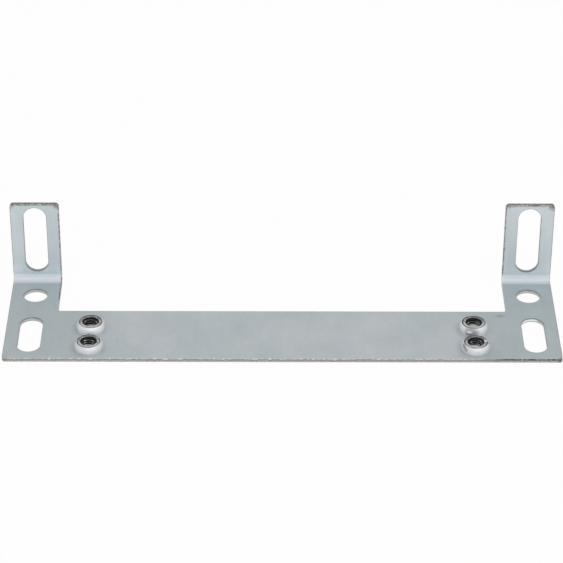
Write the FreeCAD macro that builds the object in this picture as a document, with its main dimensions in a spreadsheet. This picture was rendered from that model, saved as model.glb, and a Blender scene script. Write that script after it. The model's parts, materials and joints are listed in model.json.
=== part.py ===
import FreeCAD, Part
import os
import Sketcher
from FreeCAD import Vector

# Power supply mounting bracket: a folded sheet with four self-clinching nuts pressed into it.
# Origin under the middle of the base, X along the strip, front edge at -Y, tabs rising to +Z at the rear.

# Driving dimensions in millimetres
dimensions = {
    # Folded sheet
    "plate_width": 150,
    "plate_depth": 40,
    "tab_height": 25.7,
    "sheet_thickness": 1.2,
    "bend_radius": 1.6,
    "strip_depth": 23,
    "ear_width": 13.5,
    "front_corner_radius": 1,
    "notch_corner_radius": 0.8,
    "tab_corner_radius": 1,
    # Slot and round hole of each ear
    "ear_slot_width": 6.2,
    "ear_slot_length": 16.6,
    "ear_slot_front_margin": 3.1,
    "ear_hole_diameter": 6.6,
    "ear_hole_setback": 9.2,
    # Upright slot of each tab, between the bend and the top edge
    "tab_slot_width": 6.3,
    "tab_slot_foot_margin": 1.2,
    "tab_slot_head_margin": 1.2,
    # Four nuts in two pairs
    "nut_spacing": 104,
    "nut_pitch": 9.5,
    "nut_front_margin": 5.2,
    "nut_height": 2,
    "nut_bore": 3.3,
    "nut_mouth_chamfer": 0.65,
    "nut_rim_width": 0.85,
    "nut_shoulder_width": 0.85,
    "nut_flange_land": 0.2,
    "nut_shank_wall": 1.05,
    "nut_shank_recess": 0.1,
    "nut_lead_chamfer": 0.3,
}

# Sizes that follow from the driving ones, as sheet formulas
derived = {
    "front_edge": "=-plate_depth / 2",
    "rear_face": "=plate_depth / 2",
    "ear_middle": "=(plate_width - ear_width) / 2",
    "notch_half_width": "=plate_width / 2 - ear_width",
    "notch_edge": "=front_edge + strip_depth",
    "bend_top": "=sheet_thickness + bend_radius",
    "ear_slot_radius": "=ear_slot_width / 2",
    "ear_slot_centre": "=front_edge + ear_slot_front_margin + ear_slot_radius",
    "ear_slot_run": "=ear_slot_length - ear_slot_width",
    "ear_hole_centre": "=rear_face - ear_hole_setback",
    "tab_slot_radius": "=tab_slot_width / 2",
    "tab_slot_centre": "=bend_top + tab_slot_foot_margin + tab_slot_radius",
    "tab_slot_run": "=tab_height - tab_slot_head_margin - tab_slot_radius - tab_slot_centre",
    "nut_row": "=front_edge + nut_front_margin",
    "nut_bore_radius": "=nut_bore / 2",
    "nut_mouth_radius": "=nut_bore_radius + nut_mouth_chamfer",
    "nut_rim_radius": "=nut_mouth_radius + nut_rim_width",
    "nut_radius": "=nut_rim_radius + nut_shoulder_width",
    "nut_shank_radius": "=nut_bore_radius + nut_shank_wall",
    "nut_shank_length": "=sheet_thickness - nut_shank_recess",
    "nut_lead_radius": "=nut_bore_radius + nut_lead_chamfer",
    "nut_rim_drop": "=nut_height - nut_mouth_chamfer",
    "nut_lead_rise": "=nut_shank_length - nut_lead_chamfer",
}

doc = FreeCAD.newDocument("PowerSupplyBracket")
sheet = doc.addObject("Spreadsheet::Sheet", "Sizes")
for row, (alias, content) in enumerate({**dimensions, **derived}.items(), start=1):
    sheet.set(f"A{row}", alias)
    sheet.set(f"B{row}", str(content))
    sheet.setAlias(f"B{row}", alias)
doc.recompute()
size = {alias: float(sheet.get(alias)) for alias in {**dimensions, **derived}}

# Point numbers of a curve in a sketch, and the sketch's own origin and horizontal axis
START, END, CENTRE = 1, 2, 3
ORIGIN = (-1, START)
HORIZONTAL_AXIS = -1


def origin_feature(body, role):
    return next(feature for feature in body.Origin.OriginFeatures if feature.Role == role)


def add_sketch(body, name, plane):
    sketch = body.newObject("Sketcher::SketchObject", name)
    sketch.AttachmentSupport = [(origin_feature(body, plane), "")]
    sketch.MapMode = "FlatFace"
    return sketch


def line(x1, y1, x2, y2):
    return Part.LineSegment(Vector(x1, y1, 0), Vector(x2, y2, 0))


def arc(x1, y1, xm, ym, x2, y2):
    return Part.Arc(Vector(x1, y1, 0), Vector(xm, ym, 0), Vector(x2, y2, 0))


# A dimension of a sketch, named and bound to a cell or formula of the sheet
def drive(sketch, name, formula, kind, *points):
    value = sketch.evalExpression(formula)
    index = sketch.addConstraint(Sketcher.Constraint(kind, *points, float(value)))
    sketch.renameConstraint(index, name)
    sketch.setExpression(f"Constraints.{name}", formula)


# Neighbouring curves of a closed outline share their end points, and those listed as smooth are tangent there
def close_outline(sketch, curves, smooth=()):
    first = sketch.GeometryCount
    sketch.addGeometry(curves, False)
    for place in range(len(curves)):
        here = first + place
        there = first + (place + 1) % len(curves)
        meeting = min(
            ((a, b) for a in (START, END) for b in (START, END)),
            key=lambda ends: (sketch.getPoint(here, ends[0]) - sketch.getPoint(there, ends[1])).Length,
        )
        kind = "Tangent" if place in smooth else "Coincident"
        sketch.addConstraint(Sketcher.Constraint(kind, here, meeting[0], there, meeting[1]))
        if isinstance(curves[place], Part.LineSegment):
            run = curves[place].EndPoint - curves[place].StartPoint
            if run.y == 0:
                sketch.addConstraint(Sketcher.Constraint("Horizontal", here))
            elif run.x == 0:
                sketch.addConstraint(Sketcher.Constraint("Vertical", here))
    return first


# An upright slot with round ends: its lower end's centre, the run between the two centres, and its radius
def add_slot(sketch, centre_x, centre_y, run, radius):
    x, y, rise, r = (float(sketch.evalExpression(f)) for f in (centre_x, centre_y, run, radius))
    top = y + rise
    first = close_outline(sketch, [
        arc(x - r, y, x, y - r, x + r, y),
        line(x + r, y, x + r, top),
        arc(x + r, top, x, top + r, x - r, top),
        line(x - r, top, x - r, y),
    ], smooth=(0, 1, 2, 3))
    lower, upper = (first, CENTRE), (first + 2, CENTRE)
    drive(sketch, "SlotX", centre_x, "DistanceX", *ORIGIN, *lower)
    drive(sketch, "SlotY", centre_y, "DistanceY", *ORIGIN, *lower)
    drive(sketch, "SlotRun", run, "DistanceY", *lower, *upper)
    drive(sketch, "SlotRadius", radius, "Radius", first)


def add_circle(sketch, centre_x, centre_y, diameter):
    x, y, d = (float(sketch.evalExpression(f)) for f in (centre_x, centre_y, diameter))
    circle = sketch.addGeometry(Part.Circle(Vector(x, y, 0), Vector(0, 0, 1), d / 2), False)
    drive(sketch, "HoleX", centre_x, "DistanceX", *ORIGIN, circle, CENTRE)
    drive(sketch, "HoleY", centre_y, "DistanceY", *ORIGIN, circle, CENTRE)
    drive(sketch, "HoleDiameter", diameter, "Diameter", circle)


# A cut right through the sheet, both ways from the sketch
def cut_through(body, name, sketch):
    pocket = body.newObject("PartDesign::Pocket", name)
    pocket.Profile = sketch
    pocket.Type = "ThroughAll"
    pocket.SideType = "Symmetric"
    sketch.Visibility = False
    doc.recompute()
    return pocket


# Two by two copies, across the strip and along its depth
def grid_of_nuts(body, name, feature):
    pattern = body.newObject("PartDesign::LinearPattern", name)
    pattern.Originals = [feature]
    pattern.Direction = (origin_feature(body, "X_Axis"), [""])
    pattern.Direction2 = (origin_feature(body, "Y_Axis"), [""])
    pattern.Occurrences = 2
    pattern.Occurrences2 = 2
    pattern.setExpression("Length", "Sizes.nut_spacing")
    pattern.setExpression("Length2", "Sizes.nut_pitch")
    body.Tip = pattern
    doc.recompute()
    return pattern


# Corners of the sheet: the edges through its thickness whose middles are given
def round_corners(body, name, radius, corners):
    base = body.Tip
    edges = base.Shape.Edges
    middles = [edge.valueAt((edge.FirstParameter + edge.LastParameter) / 2) for edge in edges]
    names = []
    for corner in corners:
        nearest = min(range(len(edges)), key=lambda index: (middles[index] - corner).Length)
        names.append(f"Edge{nearest + 1}")
    fillet = body.newObject("PartDesign::Fillet", name)
    fillet.Base = (base, names)
    fillet.setExpression("Radius", radius)
    doc.recompute()


def make_plate():
    body = doc.addObject("PartDesign::Body", "BracketPlate")
    body.Label = "bracket_plate"

    # Side profile of the bent sheet, across the full width
    front, rear, top = size["front_edge"], size["rear_face"], size["tab_height"]
    thick, inner = size["sheet_thickness"], size["bend_radius"]
    outer = inner + thick
    side = add_sketch(body, "SideProfile", "YZ_Plane")
    bend = Vector(rear - outer, outer, 0)
    slant = Vector(1, -1, 0).normalize()
    outer_mid, inner_mid = bend + slant * outer, bend + slant * inner
    underside, outer_arc, rear_line, top_line, tab_line, inner_arc, upper_line, front_line = range(8)
    close_outline(side, [
        line(front, 0, bend.x, 0),
        arc(bend.x, 0, outer_mid.x, outer_mid.y, rear, bend.y),
        line(rear, bend.y, rear, top),
        line(rear, top, rear - thick, top),
        line(rear - thick, top, rear - thick, bend.y),
        arc(rear - thick, bend.y, inner_mid.x, inner_mid.y, bend.x, thick),
        line(bend.x, thick, front, thick),
        line(front, thick, front, 0),
    ], smooth=(underside, outer_arc, tab_line, inner_arc))
    side.addConstraint(Sketcher.Constraint("PointOnObject", underside, START, HORIZONTAL_AXIS))
    drive(side, "Front", "Sizes.front_edge", "DistanceX", *ORIGIN, underside, START)
    drive(side, "Rear", "Sizes.rear_face", "DistanceX", *ORIGIN, rear_line, END)
    drive(side, "Height", "Sizes.tab_height", "DistanceY", *ORIGIN, rear_line, END)
    drive(side, "TabThickness", "Sizes.sheet_thickness", "DistanceX", top_line, END, top_line, START)
    drive(side, "BaseThickness", "Sizes.sheet_thickness", "DistanceY", front_line, END, front_line, START)
    drive(side, "InnerBend", "Sizes.bend_radius", "Radius", inner_arc)
    drive(side, "OuterBend", "Sizes.bend_top", "Radius", outer_arc)
    pad = body.newObject("PartDesign::Pad", "BentSheet")
    pad.Profile = side
    pad.SideType = "Symmetric"
    pad.setExpression("Length", "Sizes.plate_width")
    side.Visibility = False
    doc.recompute()

    # Notch between the ears, open to the rear
    half, edge, beyond = size["notch_half_width"], size["notch_edge"], size["plate_depth"]
    notch = add_sketch(body, "NotchOutline", "XY_Plane")
    near, right, far, left = range(4)
    close_outline(notch, [
        line(-half, edge, half, edge),
        line(half, edge, half, beyond),
        line(half, beyond, -half, beyond),
        line(-half, beyond, -half, edge),
    ])
    drive(notch, "Right", "Sizes.notch_half_width", "DistanceX", *ORIGIN, near, END)
    drive(notch, "Left", "Sizes.notch_half_width", "DistanceX", near, START, *ORIGIN)
    drive(notch, "Edge", "Sizes.notch_edge", "DistanceY", *ORIGIN, near, START)
    drive(notch, "Beyond", "Sizes.plate_depth", "DistanceY", *ORIGIN, far, START)
    cut_through(body, "Notch", notch)

    # Slots and holes of the right ear and tab, mirrored to the left
    slot_sketch = add_sketch(body, "EarSlotOutline", "XY_Plane")
    add_slot(slot_sketch, "Sizes.ear_middle", "Sizes.ear_slot_centre", "Sizes.ear_slot_run",
             "Sizes.ear_slot_radius")
    hole_sketch = add_sketch(body, "EarHoleOutline", "XY_Plane")
    add_circle(hole_sketch, "Sizes.ear_middle", "Sizes.ear_hole_centre", "Sizes.ear_hole_diameter")
    tab_sketch = add_sketch(body, "TabSlotOutline", "XZ_Plane")
    add_slot(tab_sketch, "Sizes.ear_middle", "Sizes.tab_slot_centre", "Sizes.tab_slot_run",
             "Sizes.tab_slot_radius")
    cuts = [
        cut_through(body, "EarSlot", slot_sketch),
        cut_through(body, "EarHole", hole_sketch),
        cut_through(body, "TabSlot", tab_sketch),
    ]
    mirrored = body.newObject("PartDesign::Mirrored", "LeftCuts")
    mirrored.Originals = cuts
    mirrored.MirrorPlane = (origin_feature(body, "YZ_Plane"), [""])
    body.Tip = mirrored
    doc.recompute()

    # Punched holes that take the nuts' shanks
    punched = add_sketch(body, "NutHoleOutline", "XY_Plane")
    add_circle(punched, "-Sizes.nut_spacing / 2", "Sizes.nut_row", "2 * Sizes.nut_shank_radius")
    grid_of_nuts(body, "NutHoles", cut_through(body, "NutHole", punched))

    # Rounded corners, on the mid-plane of the sheet
    middle = thick / 2
    outside = size["plate_width"] / 2
    round_corners(body, "FrontCorners", "Sizes.front_corner_radius",
                  [Vector(x, front, middle) for x in (-outside, outside)])
    round_corners(body, "NotchCorners", "Sizes.notch_corner_radius",
                  [Vector(x, edge, middle) for x in (-half, half)])
    round_corners(body, "TabCorners", "Sizes.tab_corner_radius",
                  [Vector(x, rear - middle, top) for x in (-outside, -half, half, outside)])
    return body


def make_nuts():
    body = doc.addObject("PartDesign::Body", "ClinchNuts")
    body.Label = "clinch_nuts"

    # Half section of the front left nut about its own axis, with the sheet's upper face at height zero
    bore, mouth, rim = size["nut_bore_radius"], size["nut_mouth_radius"], size["nut_rim_radius"]
    outside, shank, lead = size["nut_radius"], size["nut_shank_radius"], size["nut_lead_radius"]
    top, land, foot = size["nut_height"], size["nut_flange_land"], -size["nut_shank_length"]
    bore_top, bore_foot = size["nut_rim_drop"], -size["nut_lead_rise"]
    section = add_sketch(body, "NutSection", "XZ_Plane")
    section.setExpression("AttachmentOffset.Base.x", "-Sizes.nut_spacing / 2")
    section.setExpression("AttachmentOffset.Base.y", "Sizes.sheet_thickness")
    section.setExpression("AttachmentOffset.Base.z", "-Sizes.nut_row")

    # The shoulder bulges from the flange's land, which it leaves smoothly, to the rim
    reach, rise = outside - rim, top - land
    bulge = (reach ** 2 + rise ** 2) / (2 * reach)
    turn = Vector(rim - (outside - bulge), rise, 0).normalize() + Vector(1, 0, 0)
    shoulder = Vector(outside - bulge, land, 0) + turn.normalize() * bulge
    foot_line, shank_line, seat_line, land_line, shoulder_arc, rim_line, mouth_line, bore_line = range(8)
    close_outline(section, [
        line(lead, foot, shank, foot),
        line(shank, foot, shank, 0),
        line(shank, 0, outside, 0),
        line(outside, 0, outside, land),
        arc(outside, land, shoulder.x, shoulder.y, rim, top),
        line(rim, top, mouth, top),
        line(mouth, top, bore, bore_top),
        line(bore, bore_top, bore, bore_foot),
        line(bore, bore_foot, lead, foot),
    ], smooth=(land_line,))
    section.addConstraint(Sketcher.Constraint("PointOnObject", seat_line, START, HORIZONTAL_AXIS))
    drive(section, "Shank", "Sizes.nut_shank_radius", "DistanceX", *ORIGIN, seat_line, START)
    drive(section, "Flange", "Sizes.nut_radius", "DistanceX", *ORIGIN, seat_line, END)
    drive(section, "Rim", "Sizes.nut_rim_radius", "DistanceX", *ORIGIN, rim_line, START)
    drive(section, "Mouth", "Sizes.nut_mouth_radius", "DistanceX", *ORIGIN, rim_line, END)
    drive(section, "Bore", "Sizes.nut_bore_radius", "DistanceX", *ORIGIN, bore_line, START)
    drive(section, "Lead", "Sizes.nut_lead_radius", "DistanceX", *ORIGIN, foot_line, START)
    drive(section, "Height", "Sizes.nut_height", "DistanceY", *ORIGIN, rim_line, START)
    drive(section, "Land", "Sizes.nut_flange_land", "DistanceY", *ORIGIN, land_line, END)
    drive(section, "BoreTop", "Sizes.nut_rim_drop", "DistanceY", *ORIGIN, bore_line, START)
    drive(section, "BoreFoot", "Sizes.nut_lead_rise", "DistanceY", bore_line, END, *ORIGIN)
    drive(section, "Foot", "Sizes.nut_shank_length", "DistanceY", foot_line, START, *ORIGIN)
    turned = body.newObject("PartDesign::Revolution", "TurnedNut")
    turned.Profile = section
    turned.ReferenceAxis = (section, ["V_Axis"])
    turned.Angle = 360
    section.Visibility = False
    doc.recompute()
    grid_of_nuts(body, "NutGrid", turned)
    return body


def check_document(bodies):
    failed = [item.Name for item in doc.Objects if {"Invalid", "Error"} & set(item.State)]
    if failed:
        raise RuntimeError(f"failed objects: {failed}")
    for body in bodies:
        if body.Shape.isNull() or not body.Shape.isValid():
            raise RuntimeError(f"{body.Label} has no valid shape")
        for feature in body.Group:
            if feature.isDerivedFrom("PartDesign::Pocket"):
                if feature.Shape.Volume >= feature.BaseFeature.Shape.Volume:
                    raise RuntimeError(f"{feature.Name} cuts nothing")
        print(body.Label, len(body.Shape.Solids), "solids", round(body.Shape.Volume, 2), "cubic mm")


bodies = [make_plate(), make_nuts()]
doc.recompute()
check_document(bodies)
os.makedirs("parts", exist_ok=True)
for body in bodies:
    body.Shape.exportStep(f"parts/{body.Label}.step")
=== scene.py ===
import json
from math import cos, pi, radians, sin, sqrt

import bmesh
import bpy
from mathutils import Matrix, Vector

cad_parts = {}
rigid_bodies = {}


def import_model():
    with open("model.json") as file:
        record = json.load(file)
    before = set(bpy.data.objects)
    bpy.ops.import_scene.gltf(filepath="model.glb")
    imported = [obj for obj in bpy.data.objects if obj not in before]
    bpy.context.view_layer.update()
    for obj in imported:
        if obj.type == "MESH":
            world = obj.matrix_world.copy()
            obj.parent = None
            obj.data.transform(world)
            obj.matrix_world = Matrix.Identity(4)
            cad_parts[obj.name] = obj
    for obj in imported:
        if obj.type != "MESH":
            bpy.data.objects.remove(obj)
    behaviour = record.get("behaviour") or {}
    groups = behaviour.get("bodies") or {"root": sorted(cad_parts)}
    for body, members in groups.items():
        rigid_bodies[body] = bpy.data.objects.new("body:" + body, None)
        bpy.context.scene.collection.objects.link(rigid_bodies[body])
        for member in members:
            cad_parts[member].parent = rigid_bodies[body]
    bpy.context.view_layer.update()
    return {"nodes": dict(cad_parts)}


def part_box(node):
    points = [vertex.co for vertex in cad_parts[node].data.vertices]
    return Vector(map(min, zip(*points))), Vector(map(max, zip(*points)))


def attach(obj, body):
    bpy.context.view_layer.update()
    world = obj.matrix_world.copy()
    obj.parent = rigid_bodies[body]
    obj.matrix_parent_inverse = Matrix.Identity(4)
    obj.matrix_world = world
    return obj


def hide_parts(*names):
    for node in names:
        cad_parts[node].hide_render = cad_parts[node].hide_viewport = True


for leftover in list(bpy.data.objects):  # whatever the start-up file holds
    bpy.data.objects.remove(leftover)

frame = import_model()
mm = 0.001
nutGrid = {"across": 52.0, "middle": -10.05, "halfPitch": 4.75}  # where the four nuts sit, in mm
print("frame loaded:", ", ".join(sorted(frame["nodes"])))


def tint(code):  # "#rrggbb" as the linear colour that a socket takes
    parts = [int(code[i:i + 2], 16) / 255 for i in (1, 3, 5)]
    return [p / 12.92 if p < 0.04045 else ((p + 0.055) / 1.055) ** 2.4 for p in parts] + [1.0]


def tints(look):
    return {name: tint(code) for name, code in look["colours"].items()}


def radial(u, v):  # how far out a point lies, from its distances along two axes
    return (u * u + v * v) ** 0.5


class Wire:  # a value in a node tree: sums on it add Math nodes
    def __init__(self, tree, socket):
        self.tree, self.socket = tree, socket

    def other(self, name):  # another output of the same node
        return Wire(self.tree, self.socket.node.outputs[name])

    def maths(self, operation, a, b=0.0):
        return self.tree.add("ShaderNodeMath", {"operation": operation}, {0: a, 1: b})

    def __add__(self, other):
        return self.maths("ADD", self, other)

    def __radd__(self, other):
        return self.maths("ADD", other, self)

    def __sub__(self, other):
        return self.maths("SUBTRACT", self, other)

    def __rsub__(self, other):
        return self.maths("SUBTRACT", other, self)

    def __mul__(self, other):
        return self.maths("MULTIPLY", self, other)

    def __rmul__(self, other):
        return self.maths("MULTIPLY", other, self)

    def __truediv__(self, other):
        return self.maths("DIVIDE", self, other)

    def __pow__(self, other):
        return self.maths("POWER", self, other)

    def __gt__(self, other):
        return self.maths("GREATER_THAN", self, other)

    def __lt__(self, other):
        return self.maths("LESS_THAN", self, other)

    def __abs__(self):
        return self.maths("ABSOLUTE", self)


class NodeTree:  # a node tree that is filled from code
    def __init__(self, tree):
        self.tree = tree
        tree.nodes.clear()

    # one node: its type, its settings, then the values or links of its sockets
    def add(self, kind, settings=None, sockets=None, out=0):
        node = self.tree.nodes.new(kind)
        for name, value in (settings or {}).items():
            setattr(node, name, value)
        for name, value in (sockets or {}).items():
            if isinstance(value, Wire):
                self.tree.links.new(value.socket, node.inputs[name])
            else:
                node.inputs[name].default_value = value
        if node.outputs:
            return Wire(self, node.outputs[out])

    def split(self, vector):
        x = self.add("ShaderNodeSeparateXYZ", None, {0: vector})
        return x, x.other("Y"), x.other("Z")

    def join(self, x, y, z):
        return self.add("ShaderNodeCombineXYZ", None, {0: x, 1: y, 2: z})

    def least(self, a, b):
        return self.add("ShaderNodeMath", {"operation": "MINIMUM"}, {0: a, 1: b})

    def most(self, a, b):
        return self.add("ShaderNodeMath", {"operation": "MAXIMUM"}, {0: a, 1: b})

    def smooth(self, value, low, high):  # 0 below low, 1 above high
        return self.add("ShaderNodeMapRange", {"interpolation_type": "SMOOTHSTEP"},
                        {"Value": value, "From Min": low, "From Max": high})

    def fade(self, value, low, high):  # 1 below low, 0 above high
        return self.smooth(value, high, low)

    def noise(self, place, scale, detail, rough):
        return self.add("ShaderNodeTexNoise", None,
                        {"Vector": place, "Scale": scale, "Detail": detail, "Roughness": rough})

    def drawn(self, size, u, v, w):  # noise with a scale of its own in each direction
        perU, perV, perW, detail, rough = size
        return self.noise(self.join(u * perU, v * perV, w * perW), 1.0, detail, rough)

    def mix(self, factor, a, b, blend="MIX"):
        return self.add("ShaderNodeMix", {"data_type": "RGBA", "blend_type": blend},
                        {0: factor, 6: a, 7: b}, out=2)

    def apart(self, a, b):
        return self.add("ShaderNodeVectorMath", {"operation": "DISTANCE"}, {0: a, 1: b}, out="Value")

    def scaled(self, vector, factors):
        return self.add("ShaderNodeVectorMath", {"operation": "MULTIPLY"}, {0: vector, 1: factors})

    def bump(self, height, strength, depth):  # depth in mm
        return self.add("ShaderNodeBump", None,
                        {"Strength": strength, "Distance": depth * mm, "Height": height})

    def millimetres(self):  # the piece's own coordinates
        return self.scaled(self.add("ShaderNodeTexCoord", out="Object"), [1 / mm] * 3)

    def fromNut(self, x, y):  # measured from the axis of the nearest nut
        right, rearmost = (x > 0) * 2 - 1, (y > nutGrid["middle"]) * 2 - 1
        return x - right * nutGrid["across"], y - nutGrid["middle"] - rearmost * nutGrid["halfPitch"]

    def rays(self):  # what the camera sees directly, and what metal or glass shows of it
        seen = self.add("ShaderNodeLightPath", out="Is Camera Ray")
        return seen, self.most(seen.other("Is Glossy Ray"), seen.other("Is Transmission Ray"))

    def surface(self, sockets):
        skin = self.add("ShaderNodeBsdfPrincipled", None, sockets)
        self.add("ShaderNodeOutputMaterial", None, {"Surface": skin})


def newFinish(name):
    material = bpy.data.materials.new(name)
    material.use_nodes = True
    return material, NodeTree(material.node_tree)


# The folded sheet: its CAD mesh with eased edges, under a zinc finish. Sizes in mm, angles in degrees.
sheet = {
    "thickness": 1.2,
    "foldRadius": 1.6,
    "notchHalf": 61.5,
    "earMiddle": 68.25,
    "tabSlot": (7.15, 21.35, 3.15),  # centres of its two ends, and their radius
    "earSlot": (-13.8, -3.4, 3.1),
    "earHole": (10.8, 10.8, 3.3),
    "weldWithin": 0.001,
    "flatWithin": 0.4,
    "easedEdge": 0.09,
    "easedSteps": 2,
    "easedFrom": 40.0,
    "faceWeight": 100,
    "colours": {
        "zincCool": "#c2cbce",
        "zincWarm": "#c7cccf",
        # painted shade for the ears
        "zincShaded": "#a8b4b7",
        # painted light for the fold
        "foldLitUpper": "#ebf0f2",
        "foldLitLower": "#c8d0d8",
        # scuffs, and painted shade left of the nuts
        "scuffAndShade": "#70767a",
        "shearBright": "#dfe1e2",
        "lipDull": "#afb3b4",
        "shearGrey": "#c6c6c3",
        "shearDark": "#8f8b86",
        "burr": "#51493f",
        "punched": "#bcc0c0",
        "punchedDark": "#8a8d8e",
        # a painted glint
        "paintedGlint": "#eceeee",
        "rust": "#7d6a55",
        "edgeStain": "#8b857c",
    },
    "roughness": 0.55,
    "bump": (0.35, 0.06),  # strength and depth
    "grain": {  # noise per mm, its detail and its roughness
        "broad": (0.06, 3.0, 0.55),
        "mottle": (1.15, 2.0, 0.5),
        "fine": (3.1, 3.0, 0.7),
        "ragged": (0.55, 3.0, 0.65),
        "torn": (2.6, 4.0, 0.7),
        "flecks": (1.4, 3.0, 0.65),
    },
    "drawn": {  # the same for noise that is drawn out: three scales, its detail and its roughness
        "cloud": (0.34, 0.204, 1.36, 3.0, 0.6),
        "streak": (2.6, 0.06, 1.0, 3.0, 0.7),
        "dieMark": (0.12, 3.0, 3.0, 3.0, 0.6),
        "dash": (0.75, 0.75, 0.6, 2.0, 0.6),
    },
    "skinsApart": 43.0,  # so that the two skins are not marked alike
    "uneven": {"broad": 0.14, "cloud": 0.1, "mottle": 0.09, "fine": 0.09},  # how far each moves the tone
    "shows": {  # how strongly each mark shows
        # painted light and shade among these: the tabs' lift, the band above the fold, the ears' shade and part
        # of the press ring
        "tabs": 0.16, "streak": 0.08, "tabStreak": 0.16, "litAboveFold": 0.16, "dieMark": 0.22, "earShade": 0.58,
        "pressed": 0.22, "scuff": 0.3, "crack": 0.8, "burr": 0.8, "rustOnCuts": 0.7, "rustOnSkin": 0.9,
        "rim": 0.8, "rimBurr": 0.7,
    },
    "spread": {  # where each mark begins and ends
        "tabs": (2.0, 4.5), "litAboveFoldFrom": (2.7, 3.0), "litAboveFoldTo": (2.9, 8.0),
        "earShade": (42.0, 57.0), "earShadeUnder": (1.3, 1.5), "earShadeRear": (2.0, 16.0),
        "creaseFront": (-0.38, -0.3), "creaseTop": (-0.25, 0.6), "press": (3.9, 6.0), "shadeLeftOfNut": (-4.5, -2.0),
        "topEdge": (0.1, 0.7), "frontEdge": (0.0, 0.5), "rightBurr": (50.0, 62.0), "sideBleed": (0.04, 0.34),
        "topSmear": (0.15, 0.7), "innerBurr": (0.14, 0.46), "leftEarBurr": (8.4, 9.0), "rim": (0.03, 0.22),
    },
    "wallWithin": 0.3,
    "lip": 0.32,  # share of the thickness that the shear left bright
    "lipUneven": 0.9,
    "crackUnder": 0.13,
    "marks": [(59.8, 0.8, 1.9, 0.9), (47.3, -18.6, 1.2, 0.6)],  # x, y, length, width of the scuffs
    "glints": [(67.6, -0.3, 2.6)],  # x, y, radius of painted glints on the slot walls
    "rustSpots": [  # x, y, z, radius, strength
        (74.7, 19.0, 25.5, 2.1, 1.0), (62.0, 19.0, 25.7, 1.5, 0.6), (-62.0, 19.0, 25.5, 1.7, 0.8),
        (-74.7, 19.0, 25.4, 1.5, 0.7), (74.6, -20.0, 0.3, 1.5, 1.0), (-74.4, -20.0, 0.5, 1.1, 0.4),
    ],
}


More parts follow.
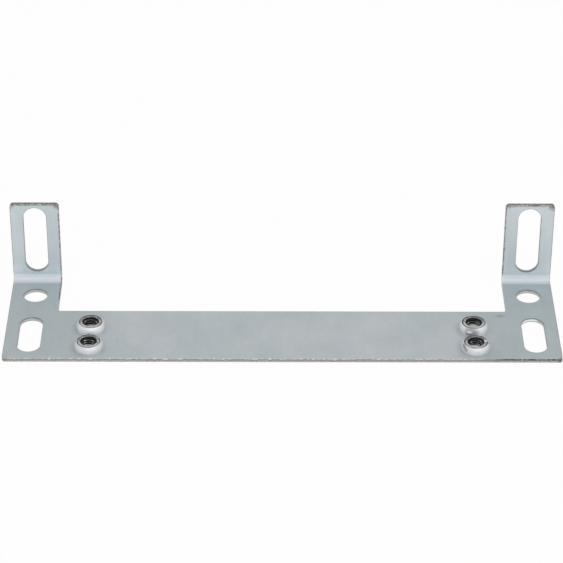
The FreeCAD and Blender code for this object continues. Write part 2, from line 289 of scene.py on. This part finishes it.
def zincSheetFinish(look, lo, hi):
    material, t = newFinish("zinc_sheet_finish")
    paint, drawn, shows, spread = tints(look), look["drawn"], look["shows"], look["spread"]
    rear, top, front, side = hi.y / mm, hi.z / mm, lo.y / mm, hi.x / mm
    thick, fold = look["thickness"], look["foldRadius"]
    foldFront, foldTop = rear - thick - fold, thick + fold  # where the folds' axis lies
    place = t.millimetres()
    x, y, z = t.split(place)
    outward = abs(x)
    grain = {name: t.noise(place, *size) for name, size in look["grain"].items()}
    ragged, torn = grain["ragged"] - 0.5, grain["torn"]
    speck = t.smooth(grain["flecks"], 0.42, 0.58)

    # from the axis of the folds, the inner skin lies at the fold radius, the outer one a sheet further
    away = t.most(y - foldFront, 0.0)
    below = t.least(z - foldTop, 0.0)
    reach = radial(away, below)
    depth = (reach - fold) / thick
    normalY, normalZ = t.split(t.add("ShaderNodeTexCoord", out="Normal"))[1:]
    facing = abs((normalY * away + normalZ * below) / reach)
    cut = t.fade(facing, 0.3, 0.8)  # 1 on edges and walls, 0 on the two skins
    along = y + z + depth * look["skinsApart"]  # runs on over the fold
    upright = t.smooth(z, *spread["tabs"])

    # how far a point lies from the slots and holes
    def fromOpening(lengthwise, low, high, radius):
        past = lengthwise - t.least(t.most(lengthwise, low), high)
        return radial(outward - look["earMiddle"], past) - radius

    onEar = t.least(fromOpening(y, *look["earSlot"]), fromOpening(y, *look["earHole"]))
    opening = onEar + (fromOpening(z, *look["tabSlot"]) - onEar) * (y > foldFront)

    # rolled and plated skin, with painted light and shade: tabs lighter, a band above the fold lighter, ears
    # darker
    cloud = grain["cloud"] = t.drawn(drawn["cloud"], x, along, 1.0)
    streak = t.drawn(drawn["streak"], x, along, depth)
    # painted light: the tabs are lighter than the flat
    tone = 1.0 + upright * shows["tabs"] + (streak - 0.5) * (shows["streak"] + upright * shows["tabStreak"])
    for name, strength in look["uneven"].items():
        tone = tone + (grain[name] - 0.5) * strength
    paintedLight = t.smooth(z, *spread["litAboveFoldFrom"]) * t.fade(z, *spread["litAboveFoldTo"])  # painted light just above the fold
    tone = tone + paintedLight * shows["litAboveFold"]
    zinc = t.mix(t.smooth(grain["broad"], 0.3, 0.7), paint["zincCool"], paint["zincWarm"])
    # painted shade on the ears, deeper towards the tabs that stand over them
    earShade = t.smooth(outward, *spread["earShade"]) * t.fade(z, *spread["earShadeUnder"])
    earShade = earShade * (0.6 + 0.2 * t.smooth(y, *spread["earShadeRear"]))
    zinc = t.mix(earShade * shows["earShade"], zinc, paint["zincShaded"])

    # the fold, painted paler than the flat, with painted light rising towards the tab
    creased = t.smooth(y - foldFront, *spread["creaseFront"]) * t.fade(z - foldTop, *spread["creaseTop"])
    turn = away / (away - below + 0.001)  # 0 where the fold leaves the flat, 1 where it meets the tab
    zinc = t.mix(creased, zinc, t.mix(turn, paint["foldLitLower"], paint["foldLitUpper"]))
    tone = tone + creased * (t.drawn(drawn["dieMark"], x, y, z) - 0.5) * shows["dieMark"]
    zinc = t.mix(1.0, zinc, tone, "MULTIPLY")

    # dull ring that the press leaves round each nut, with painted shade on its left side, and scuffs
    beside, behind = t.fromNut(x, y)
    nearNut = t.fade(radial(beside, behind), *spread["press"])
    pressed = nearNut * (0.3 + 0.7 * cloud) * (0.2 + t.fade(beside, *spread["shadeLeftOfNut"]))
    scuff = 0.0
    for atX, atY, length, width in look["marks"]:
        u, v = (x - atX) / length, (y - atY) / width
        scuff = scuff + t.fade(u * u + v * v, 0.1, 1.0) * t.smooth(cloud, 0.35, 0.6)
    wornAndShaded = t.least(pressed * shows["pressed"] + scuff * shows["scuff"], 1.0)
    zinc = t.mix(wornAndShaded, zinc, paint["scuffAndShade"])

    # sheared edges: a bright rolled lip by the inner skin, a dark crack, then the torn rest
    lipEnd = look["lip"] + ragged * look["lipUneven"]
    lip = t.fade(depth - lipEnd, -0.08, 0.02)
    crack = t.fade(abs(depth - lipEnd - look["crackUnder"]), 0.06, 0.2) * t.smooth(torn, 0.3, 0.42)
    dash = t.drawn(drawn["dash"], x, y, depth)
    bright = t.mix(t.smooth(dash, 0.42, 0.66), paint["lipDull"], paint["shearBright"])
    rest = t.mix(t.smooth(torn, 0.3, 0.65), paint["shearDark"], paint["shearGrey"])
    edge = t.mix(crack * shows["crack"], rest, paint["shearDark"])
    edge = t.mix(lip, edge, bright)

    # burrs: along the tops of the tabs, and on the lip at the right end of the front edge
    fromTop = top - z
    topBurr = t.fade(fromTop, *spread["topEdge"]) * t.fade(depth + ragged * 0.5, 0.5, 0.8) * speck
    rightEnd = t.smooth(x, *spread["rightBurr"]) * t.fade(y - front, *spread["frontEdge"])
    rightBurr = rightEnd * t.fade(depth, 0.3, 0.5) * (0.6 + 0.4 * speck)
    burr = t.most(topBurr * shows["burr"], rightBurr)
    edge = t.mix(burr, edge, paint["burr"])

    # rust
    spots = 0.0
    for atX, atY, atZ, radius, strength in look["rustSpots"]:
        spot = t.fade(t.apart(place, (atX, atY, atZ)), radius * 0.3, radius)
        spots = t.most(spots, spot * strength)
    spots = spots * t.smooth(torn, 0.34, 0.56)
    rusty = t.most(t.smooth(torn + ragged * 0.7, 0.62, 0.8) * shows["rustOnCuts"], spots)
    edge = t.mix(rusty, edge, paint["rust"])

    # punched walls of the slots and holes, dark by the inner skin
    pale = t.smooth(depth + ragged * 0.5 - (0.15 + upright * 0.3), 0.0, 0.3)
    wall = t.mix(pale, paint["punchedDark"], paint["punched"])
    # a painted glint on the far wall of the right ear slot
    for atX, atY, radius in look["glints"]:
        near = t.fade(radial(x - atX, y - atY), radius * 0.7, radius)
        wall = t.mix(near * t.fade(abs(depth - 0.5), 0.12, 0.3), wall, paint["paintedGlint"])
    edge = t.mix(opening < look["wallWithin"], edge, wall)

    # edges bleed a little on to the skin, with a burr inside both tabs and along the rear of the left ear
    patches = 0.3 + 0.7 * t.smooth(torn, 0.3, 0.6)
    dotted = 0.45 + 0.5 * speck
    bled = t.fade(side - outward, *spread["sideBleed"]) * patches * (0.5 + 0.4 * upright)
    smeared = t.fade(fromTop + ragged * 0.6, *spread["topSmear"]) * dotted
    skin = t.mix(t.most(bled, smeared), zinc, paint["edgeStain"])
    leftEar = t.smooth(y, *spread["leftEarBurr"]) * (x < 0)
    lined = t.fade(outward - look["notchHalf"], *spread["innerBurr"]) * dotted * t.most(upright, leftEar)
    skin = t.mix(lined, skin, t.mix(speck, paint["edgeStain"], paint["burr"]))
    rim = t.mix(speck * upright * shows["rimBurr"], paint["punchedDark"], paint["burr"])
    skin = t.mix(t.fade(opening, *spread["rim"]) * patches * shows["rim"], skin, rim)
    skin = t.mix(spots * shows["rustOnSkin"], skin, paint["rust"])

    fine = grain["fine"] - 0.5
    height = (streak - 0.5) * 0.35 + fine * 0.5 + cut * ((torn - 0.5) * 4.0 - crack * 2.0)
    t.surface({
        "Base Color": t.mix(cut, skin, edge),
        "Roughness": look["roughness"] + (cloud - 0.5) * 0.14 + fine * 0.08 + cut * (torn - 0.4) * 0.3,
        "Metallic": 1 - t.most(cut * rusty * 0.6, creased * (1 - cut) * 0.8),
        "Normal": t.bump(height, *look["bump"]),
    })
    return material


plate = frame["nodes"]["bracket_plate"]
plate.data.polygons.foreach_set("use_smooth", [True] * len(plate.data.polygons))
weld = plate.modifiers.new("weld", "WELD")
weld.merge_threshold = sheet["weldWithin"] * mm
flats = plate.modifiers.new("flats", "DECIMATE")
flats.decimate_type = "DISSOLVE"
flats.angle_limit = radians(sheet["flatWithin"])
eased = plate.modifiers.new("easedEdges", "BEVEL")
eased.width = sheet["easedEdge"] * mm
eased.segments = sheet["easedSteps"]
eased.limit_method = "ANGLE"
eased.angle_limit = radians(sheet["easedFrom"])
shaded = plate.modifiers.new("shading", "WEIGHTED_NORMAL")
shaded.weight = sheet["faceWeight"]
plate.data.materials.clear()
plate.data.materials.append(zincSheetFinish(sheet, *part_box("bracket_plate")))
print("folded sheet finished:", len(plate.data.polygons), "faces in the CAD mesh")


# The clinch nuts: turned form with a cut thread, in place of the plain bored ones. Units as above.
nut = {
    "places": [  # left or right, front or rear, thread start in radians
        (-1, -1, 0.3), (-1, 1, 2.1), (1, -1, 4.4), (1, 1, 5.5),
    ],
    "foot": 0.1,
    "seat": 1.2,
    "top": 3.2,
    "shankRadius": 2.7,
    "chamfer": 0.12,
    "neck": 0.02,
    "flangeRadius": 4.0,
    "land": 0.2,
    "shoulderSteps": 14,
    "rimRadius": 3.15,
    "groove": [(0.05, 0.1), (0.2, 0.1), (0.26, 0.02), (0.3, 0.0)],  # in from the rim, down from the top
    "ringSteps": 4,
    "mouthRadius": 2.3,
    "minorRadius": 1.65,
    "majorRadius": 2.0,
    "pitch": 0.7,
    "crestFlat": 0.14,  # shares of half a pitch
    "flank": 0.7,
    "leadRadius": 2.05,
    "threadRows": 84,
    "steps": 96,
    "sharpFrom": 38.0,
    "colours": {
        "bright": "#d9dbde",
        "dulled": "#8f9193",
        "face": "#c2c3c2",
        # dark oil, also painted shade in the bore and at the rear of the ring
        "oilAndShade": "#0c0b0b",
        # grime, also painted shade in the groove and beside the front right nut
        "grimeAndShade": "#2b241d",
        "chipped": "#f4f4f2",
    },
    "roughness": 0.5,
    "metallic": 0.7,
    "bump": (0.3, 0.05),  # strength and depth
    "grain": {  # noise per mm, its detail and its roughness
        "blot": (0.5, 3.0, 0.6),
        "fine": (3.5, 3.0, 0.65),
        "oil": (1.2, 3.0, 0.7),
        "patch": (0.75, 1.0, 0.5),
    },
    "toolMarks": (9.0, 0.6, 9.0, 2.0, 0.6),  # three scales, detail and roughness
    "uneven": {"blot": 0.2, "fine": 0.12, "rings": 0.14},  # how far each moves the tone
    # the lift by the front nut, the crest glints and the lit thread end are painted light; stain and oil are
    # partly painted shade
    "shows": {"facingFrontNutLit": 0.1, "face": 0.85, "stainAndShade": 0.62, "crest": 0.75, "floorLitEnd": 0.9},
    "spread": {  # where each mark begins and ends
        "facingFrontNutLit": (-3.2, -0.5), "ring": (-0.12, -0.02), "shadeRear": (-2.2, 2.4), "grooveIn": (-0.32, -0.22),
        "grooveOut": (0.0, 0.1), "bore": (-0.08, 0.02), "crest": (0.06, 0.22), "paintedLight": (0.2, 1.3),
        "floorLitEnd": (0.75, 1.1),
    },
    "grimeDown": 0.3,
    "brightestBore": (52.0, -5.3, 1.2),  # the nut whose thread end is painted lit further up
    "brightBoreWithin": 4.2,
    "brightBoreHigher": 0.5,
    "nicks": [  # x, y, z, length, height, strength, colour
        (51.2, -9.0, 2.4, 3.0, 1.6, 0.85, "dulled"),
        (50.6, -9.0, 2.3, 1.1, 0.45, 0.8, "chipped"),
        (50.3, -9.2, 1.6, 1.5, 0.4, 0.5, "grimeAndShade"),
        (54.7, -14.3, 3.2, 0.7, 0.5, 0.8, "chipped"),
        (55.2, -15.2, 3.0, 0.7, 0.5, 0.45, "grimeAndShade"),
        # these four draw a painted shadow line down the left of the front right nut
        (48.6, -15.7, 2.9, 0.7, 0.6, 0.5, "grimeAndShade"),
        (48.75, -16.3, 2.75, 0.7, 0.6, 0.5, "grimeAndShade"),
        (48.95, -16.85, 2.55, 0.7, 0.6, 0.5, "grimeAndShade"),
        (49.3, -17.4, 2.3, 0.7, 0.6, 0.5, "grimeAndShade"),
    ],
}


def brightZincFinish(look):
    material, t = newFinish("bright_zinc_finish")
    paint, shows, spread = tints(look), look["shows"], look["spread"]
    top, rim, mouth, minor = look["top"], look["rimRadius"], look["mouthRadius"], look["minorRadius"]
    place = t.millimetres()
    x, y, z = t.split(place)
    beside, behind = t.fromNut(x, y)
    radius = radial(beside, behind)
    grain = {name: t.noise(place, *size) for name, size in look["grain"].items()}
    blot, fine = grain["blot"], grain["fine"] - 0.5
    grain["rings"] = t.drawn(look["toolMarks"], radius, blot, z)

    # turned metal, duller on the flat ring; the rear nuts are painted lighter on the side that faces the front
    # nut
    facingFrontNutLit = t.fade(behind, *spread["facingFrontNutLit"]) * (y > nutGrid["middle"])
    tone = 1.0 + facingFrontNutLit * shows["facingFrontNutLit"]
    for name, strength in look["uneven"].items():
        tone = tone + (grain[name] - 0.5) * strength
    onTop = t.smooth(z - top, *spread["ring"]) * (radius < rim)
    metal = t.mix(onTop * shows["face"], paint["bright"], paint["face"])
    metal = t.mix(1.0, metal, tone, "MULTIPLY")

    # oil on the ring, with painted shade towards its rear, and grime with painted shade in its groove
    stainAndShade = onTop * t.smooth(grain["oil"] + t.smooth(behind, *spread["shadeRear"]) * 0.22, 0.52, 0.72)
    metal = t.mix(stainAndShade * shows["stainAndShade"], metal, paint["oilAndShade"])
    # grime and painted shade in the groove
    groove = t.smooth(radius - rim, *spread["grooveIn"]) * t.fade(radius - rim, *spread["grooveOut"])
    groove = groove * (z > top - look["grimeDown"]) * (0.45 + 0.5 * t.smooth(blot, 0.35, 0.6))
    colour = t.mix(groove, metal, paint["grimeAndShade"])
    for atX, atY, atZ, length, height, strength, shade in look["nicks"]:
        squeeze = Vector((1 / length, 1 / length, 1 / height))
        off = t.apart(t.scaled(place, squeeze), Vector((atX, atY, atZ)) * squeeze)
        colour = t.mix(t.fade(off + fine * 0.9, 0.3, 1.0) * strength, colour, paint[shade])

    # thread dark with oil and with painted shade of the deep bore, with painted glints on its crests and
    # painted light from the floor at its lower end
    bore = t.fade(radius - mouth, *spread["bore"])
    crest = t.fade(radius - minor, *spread["crest"])
    # painted glints on the crests, at the sides of the bore
    paintedLight = t.smooth(grain["patch"], 0.45, 0.62) * t.smooth(abs(beside), *spread["paintedLight"])
    # painted light from the floor in the lowest threads, reaching higher in one nut
    inBrightBore = t.apart(place, look["brightestBore"]) < look["brightBoreWithin"]
    floorLitEnd = t.fade(z - inBrightBore * look["brightBoreHigher"], *spread["floorLitEnd"])
    paintedShine = t.most(crest * (0.08 + paintedLight * shows["crest"]), floorLitEnd * shows["floorLitEnd"])
    thread = t.mix(paintedShine, paint["oilAndShade"], paint["bright"])
    t.surface({
        "Base Color": t.mix(bore * (z > look["foot"] + 0.1), colour, thread),
        "Roughness": look["roughness"] + fine * 0.12 + (blot - 0.5) * 0.1 - bore * 0.1,
        "Metallic": look["metallic"],
        "Normal": t.bump((grain["rings"] - 0.5) + fine * 0.6, *look["bump"]),
    })
    return material


def nutProfile(n):  # radius and height of the outer form, from the foot up and over to the mouth
    foot, seat, top, mouth = n["foot"], n["seat"], n["top"], n["mouthRadius"]
    shank, flange, rim = n["shankRadius"], n["flangeRadius"], n["rimRadius"]
    points = [(n["leadRadius"], foot), (shank - n["chamfer"], foot), (shank, foot + n["chamfer"]),
              (shank, seat - n["neck"]), (shank, seat), (flange, seat)]
    across, rise = flange - rim, top - seat - n["land"]
    swing = (across * across + rise * rise) / (2 * across)  # shoulder arc, tangent to the land
    for i in range(n["shoulderSteps"] + 1):
        h = rise * i / n["shoulderSteps"]
        points.append((flange - swing + sqrt(swing * swing - h * h), seat + n["land"] + h))
    points += [(rim - inward, top - down) for inward, down in n["groove"]]
    ring = points[-1][0] - mouth
    points += [(mouth + ring * i / n["ringSteps"], top) for i in reversed(range(n["ringSteps"]))]
    return points


def threadRadius(n, angle, height):
    turn = (height / n["pitch"] - angle / (2 * pi)) % 1.0
    ridge = min(turn, 1 - turn) * 2  # 0 on the crest, 1 in the root
    cutIn = min(max((ridge - n["crestFlat"]) / n["flank"], 0.0), 1.0)
    wall = n["minorRadius"] + (n["majorRadius"] - n["minorRadius"]) * cutIn
    mouth = n["mouthRadius"] - (n["top"] - height)  # 45 degrees at both ends
    lead = n["leadRadius"] - (height - n["foot"])
    return max(wall, mouth, lead)


def cutNut(name, n, atX, atY, start):
    bm = bmesh.new()
    steps = n["steps"]
    angles = [2 * pi * i / steps for i in range(steps)]

    def ring(radii, height):
        return [bm.verts.new((r * cos(a) * mm, r * sin(a) * mm, height * mm)) for r, a in zip(radii, angles)]

    rows = [ring([radius] * steps, height) for radius, height in nutProfile(n)]
    for j in range(1, n["threadRows"]):
        height = n["top"] + (n["foot"] - n["top"]) * j / n["threadRows"]
        rows.append(ring([threadRadius(n, a + start, height) for a in angles], height))
    rows.append(rows[0])
    for a, b in zip(rows, rows[1:]):
        for i in range(steps):
            k = (i + 1) % steps
            bm.faces.new((a[i], a[k], b[k], b[i]))
    bmesh.ops.recalc_face_normals(bm, faces=bm.faces)
    # moved in the mesh, so that no two nuts are stained alike
    bmesh.ops.translate(bm, verts=bm.verts, vec=(atX * mm, atY * mm, 0))
    for face in bm.faces:
        face.smooth = True
    for edge in bm.edges:
        edge.smooth = edge.calc_face_angle(0) < radians(n["sharpFrom"])
    mesh = bpy.data.meshes.new(name)
    bm.to_mesh(mesh)
    bm.free()
    piece = bpy.data.objects.new(name, mesh)
    bpy.context.scene.collection.objects.link(piece)
    return piece


nutFinish = brightZincFinish(nut)
for k, (right, rearmost, start) in enumerate(nut["places"]):
    atX, atY = right * nutGrid["across"], nutGrid["middle"] + rearmost * nutGrid["halfPitch"]
    piece = cutNut("clinch_nut_%d" % (k + 1), nut, atX, atY, start)
    piece.data.materials.append(nutFinish)
    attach(piece, "root")
    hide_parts("clinch_nuts")
print("clinch nuts cut:", len(nut["places"]), "of", len(piece.data.polygons), "faces")


# Floor, light and camera. Sizes in metres.
studio = {
    "floorRadius": 6.0,
    "floorSteps": 96,
    "floorWhite": 0.98,
    "floorGlow": 0.95,
    "skyForShade": 0.62,
    "wallBehind": 0.735,  # what the flats mirror, dimmer than the sky overhead
    "wallInFront": 0.8,
    "wallFade": (0.1, 0.9),
    "lampAt": (0.5, -1.5, 1.9),
    "lampFaces": (0, 0, 0),
    "lampSize": (3.4, 2.4),
    "lampWatts": 18.0,
}
scene = bpy.context.scene
scene.view_settings.view_transform = "Standard"

bm = bmesh.new()
bmesh.ops.create_circle(bm, cap_ends=True, segments=studio["floorSteps"], radius=studio["floorRadius"])
floorMesh = bpy.data.meshes.new("studio_floor")
bm.to_mesh(floorMesh)
bm.free()
floor = bpy.data.objects.new("studio_floor", floorMesh)
scene.collection.objects.link(floor)

# white to the camera and in reflections, apart from the shadow, and clear from below
floorFinish, t = newFinish("floor_white")
seen, mirrored = t.rays()
matte = t.add("ShaderNodeBsdfDiffuse", None, {"Color": [studio["floorWhite"]] * 3 + [1.0]})
glow = t.add("ShaderNodeEmission", None, {"Strength": 1.0})
lit = t.add("ShaderNodeMixShader", None, {0: t.most(seen * studio["floorGlow"], mirrored), 1: matte, 2: glow})
under = t.add("ShaderNodeNewGeometry", out="Backfacing")
clear = t.add("ShaderNodeBsdfTransparent")
t.add("ShaderNodeOutputMaterial", None, {0: t.add("ShaderNodeMixShader", None, {0: under, 1: lit, 2: clear})})
floorMesh.materials.append(floorFinish)

sky = bpy.data.worlds.new("studio_sky")
scene.world = sky
sky.use_nodes = True
t = NodeTree(sky.node_tree)
seen, mirrored = t.rays()
depth = t.split(t.add("ShaderNodeTexCoord", out="Generated"))[1]  # -1 in front of the bracket, 1 behind it
near, far = studio["wallFade"]
wall = 1 - t.smooth(depth, near, far) * (1 - studio["wallBehind"])
wall = wall - t.fade(depth, -far, -near) * (1 - studio["wallInFront"])
strength = seen + (1 - seen) * (mirrored * wall + (1 - mirrored) * studio["skyForShade"])
light = t.add("ShaderNodeBackground", None, {"Color": [1.0] * 4, "Strength": strength})
t.add("ShaderNodeOutputWorld", None, {0: light})

lamp = bpy.data.lights.new("soft_lamp", "AREA")
lamp.shape, lamp.energy = "RECTANGLE", studio["lampWatts"]
lamp.size, lamp.size_y = studio["lampSize"]
holder = bpy.data.objects.new("soft_lamp", lamp)
holder.location = studio["lampAt"]
aim = Vector(studio["lampFaces"]) - Vector(studio["lampAt"])
holder.rotation_euler = aim.to_track_quat("-Z", "Y").to_euler()
scene.collection.objects.link(holder)
print("studio set: floor, sky and lamp")

view = {
    "aim": (-0.222, 0.0, 12.809),  # mm
    "distance": 689.025,  # mm
    "down": 32.671,  # degrees
    "turned": -0.278,
    "rolled": 0.271,
    "lens": 162.455,  # mm
    "sensor": 36.0,
    "clip": (0.01, 50.0),  # m
}
lens = bpy.data.cameras.new("camera")
lens.sensor_width, lens.lens = view["sensor"], view["lens"]
lens.clip_start, lens.clip_end = view["clip"]
camera = bpy.data.objects.new("camera", lens)
scene.collection.objects.link(camera)
turned = Matrix.Rotation(radians(view["turned"]), 4, "Z")
tipped = Matrix.Rotation(radians(90 - view["down"]), 4, "X")
rolled = Matrix.Rotation(radians(view["rolled"]), 4, "Z")
aimed = Matrix.Translation(Vector(view["aim"]) * mm)
camera.matrix_world = aimed @ turned @ tipped @ rolled @ Matrix.Translation((0, 0, view["distance"] * mm))
scene.camera = camera
print("camera placed")
